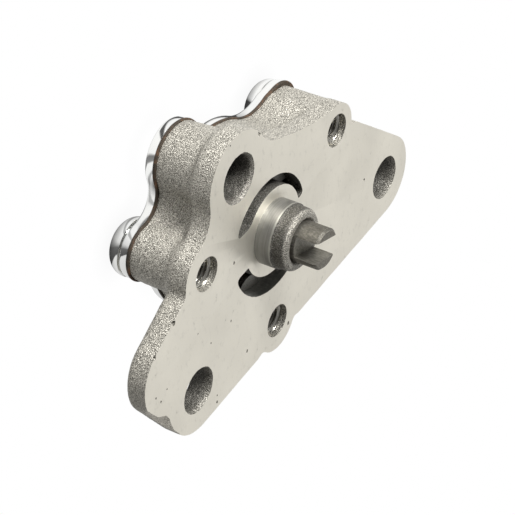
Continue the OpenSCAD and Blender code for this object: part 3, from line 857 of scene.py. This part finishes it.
pin_steel, shader = paint("hardened_pin", (0.5, 0.5, 0.49), 1.0, 0.22)
lapping = grain(pin_steel, 1.0, (9, 0.5, 0.5), 2)
spread(pin_steel, lapping, [(0.3, 0.16), (0.7, 0.3)], shader.inputs["Roughness"])
relief(pin_steel, shader, (lapping, 0.004))

for node, finish, slot in (("inner_rotor", sinter, "rotor_steel"), ("outer_rotor", sinter, "rotor_steel"),
                           ("drive_pin", pin_steel, "shaft_steel")):
    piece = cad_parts[node]
    piece.data.materials.clear()
    piece.data.materials.append(finish)

# Floor and light
# A plain pale floor under a white studio. The floor glows: plain white to the camera, and to the pump a
# broad lamp, dimmed in dark strips and under the pump. A small soft light stands over the walls that face
# up in the picture, and a large weak one over the milled face.
FLOOR_Z = HEAD_TOP * MM
FLOOR_HALF = 3.0
BRIGHT = Vector((0.63, 0.776, 0.0))
STRIP_REACH = 50

corners = [(-FLOOR_HALF, -FLOOR_HALF, FLOOR_Z), (FLOOR_HALF, -FLOOR_HALF, FLOOR_Z),
           (FLOOR_HALF, FLOOR_HALF, FLOOR_Z), (-FLOOR_HALF, FLOOR_HALF, FLOOR_Z)]
floor = bpy.data.objects.new("floor", bpy.data.meshes.new("floor"))
bpy.context.scene.collection.objects.link(floor)
floor.data.from_pydata(corners, [], [(0, 1, 2, 3)])


def shade_by_place(made, source, toward, stops, low, high):
    """Grey along a direction, from low to high, in stops of (place, grey)."""
    place = made.node_tree.nodes.new("ShaderNodeTexCoord")
    along = made.node_tree.nodes.new("ShaderNodeVectorMath")
    along.operation = "DOT_PRODUCT"
    along.inputs[1].default_value = toward
    made.node_tree.links.new(place.outputs[source], along.inputs[0])
    return spread(made, share_of(made, along.outputs["Value"], low, high), stops)


def only_light(tree, lit, socket):
    """Shows plain white to the camera, and the lit value to every other ray. The choice
    between the two is a mix, and it is given back."""
    path = tree.nodes.new("ShaderNodeLightPath")
    choice = tree.nodes.new("ShaderNodeMix")
    choice.data_type = "RGBA"
    choice.inputs["B"].default_value = (1, 1, 1, 1)
    tree.links.new(path.outputs["Is Camera Ray"], choice.inputs["Factor"])
    tree.links.new(lit, choice.inputs["A"])
    tree.links.new(choice.outputs["Result"], socket)
    return choice


# Under the pump the floor's glow dims by occlusion: a faint painted shadow in the camera's view, and much
# deeper painted shade in the light that it throws back
SHADE_REACH = 3
FLOOR_DIM = 0.9
SHADE_SEEN = 0.93
studio_floor = bpy.data.materials.new("studio_floor")
studio_floor.use_nodes = True
tree = studio_floor.node_tree
tree.nodes.clear()
out = tree.nodes.new("ShaderNodeOutputMaterial")
glow = tree.nodes.new("ShaderNodeEmission")
near = tree.nodes.new("ShaderNodeAmbientOcclusion")
near.inputs["Distance"].default_value = SHADE_REACH * MM

# Dark strips between the bright ones, which the polished screw heads and cover mirror:
# (millimetres along the bright direction, grey)
STRIPS = [(-50, 0.45), (-20, 0.62), (-10.1, 0.76), (-9.8, 0.08), (-7.0, 0.14), (-5.2, 0.7), (-1.9, 0.9),
          (-1.6, 0.45), (-0.6, 0.45), (-0.3, 0.95), (2.8, 0.95), (3.4, 0.25), (5.6, 0.2), (6.6, 0.95),
          (13.2, 1.0), (13.5, 0.1), (15.3, 0.1), (15.8, 1.0), (50, 1.0)]
strips = shade_by_place(studio_floor, "Object", BRIGHT,
                        [(0.5 + at / (2 * STRIP_REACH), grey) for at, grey in STRIPS],
                        -STRIP_REACH * MM, STRIP_REACH * MM)
dimmed = times(studio_floor, strips, FLOOR_DIM)
tree.links.new(near.outputs["Color"], dimmed.inputs["B"])
painted_floor_shadow = tree.nodes.new("ShaderNodeMapRange")
painted_floor_shadow.inputs["To Min"].default_value = SHADE_SEEN
tree.links.new(near.outputs["AO"], painted_floor_shadow.inputs["Value"])
floor_choice = only_light(tree, dimmed.outputs["Result"], glow.inputs["Color"])
tree.links.new(painted_floor_shadow.outputs["Result"], floor_choice.inputs["B"])
tree.links.new(glow.outputs["Emission"], out.inputs["Surface"])
floor.data.materials.append(studio_floor)

# The surround is dim behind the camera, so that the milled face and the chrome keep contrast
AROUND = [(0, 0.62), (0.6, 0.5), (0.85, 0.12), (1, 0.05)]
world = bpy.data.worlds.new("studio")
bpy.context.scene.world = world
world.use_nodes = True
around = shade_by_place(world, "Generated", VIEW_BACK, AROUND, -1, 1)
only_light(world.node_tree, around, world.node_tree.nodes["Background"].inputs["Color"])

# Name, direction, distance and width in metres, and brightness
LAMPS = [("key_light", (0.1, 0.85, 0.5), 0.5, 0.16, 60.0),
         ("face_light", (0.59, -0.67, 0.45), 0.6, 0.9, 0.22)]
for name, direction, distance, width, brightness in LAMPS:
    lamp = bpy.data.objects.new(name, bpy.data.lights.new(name, "AREA"))
    bpy.context.scene.collection.objects.link(lamp)
    lamp.data.size = width
    lamp.data.energy = brightness * math.pi * width ** 2
    lamp.location = Vector(direction).normalized() * distance
    lamp.rotation_mode = "QUATERNION"
    lamp.rotation_quaternion = lamp.location.to_track_quat("Z", "Y")
    lamp.visible_camera = False

bpy.context.scene.view_settings.view_transform = "Standard"
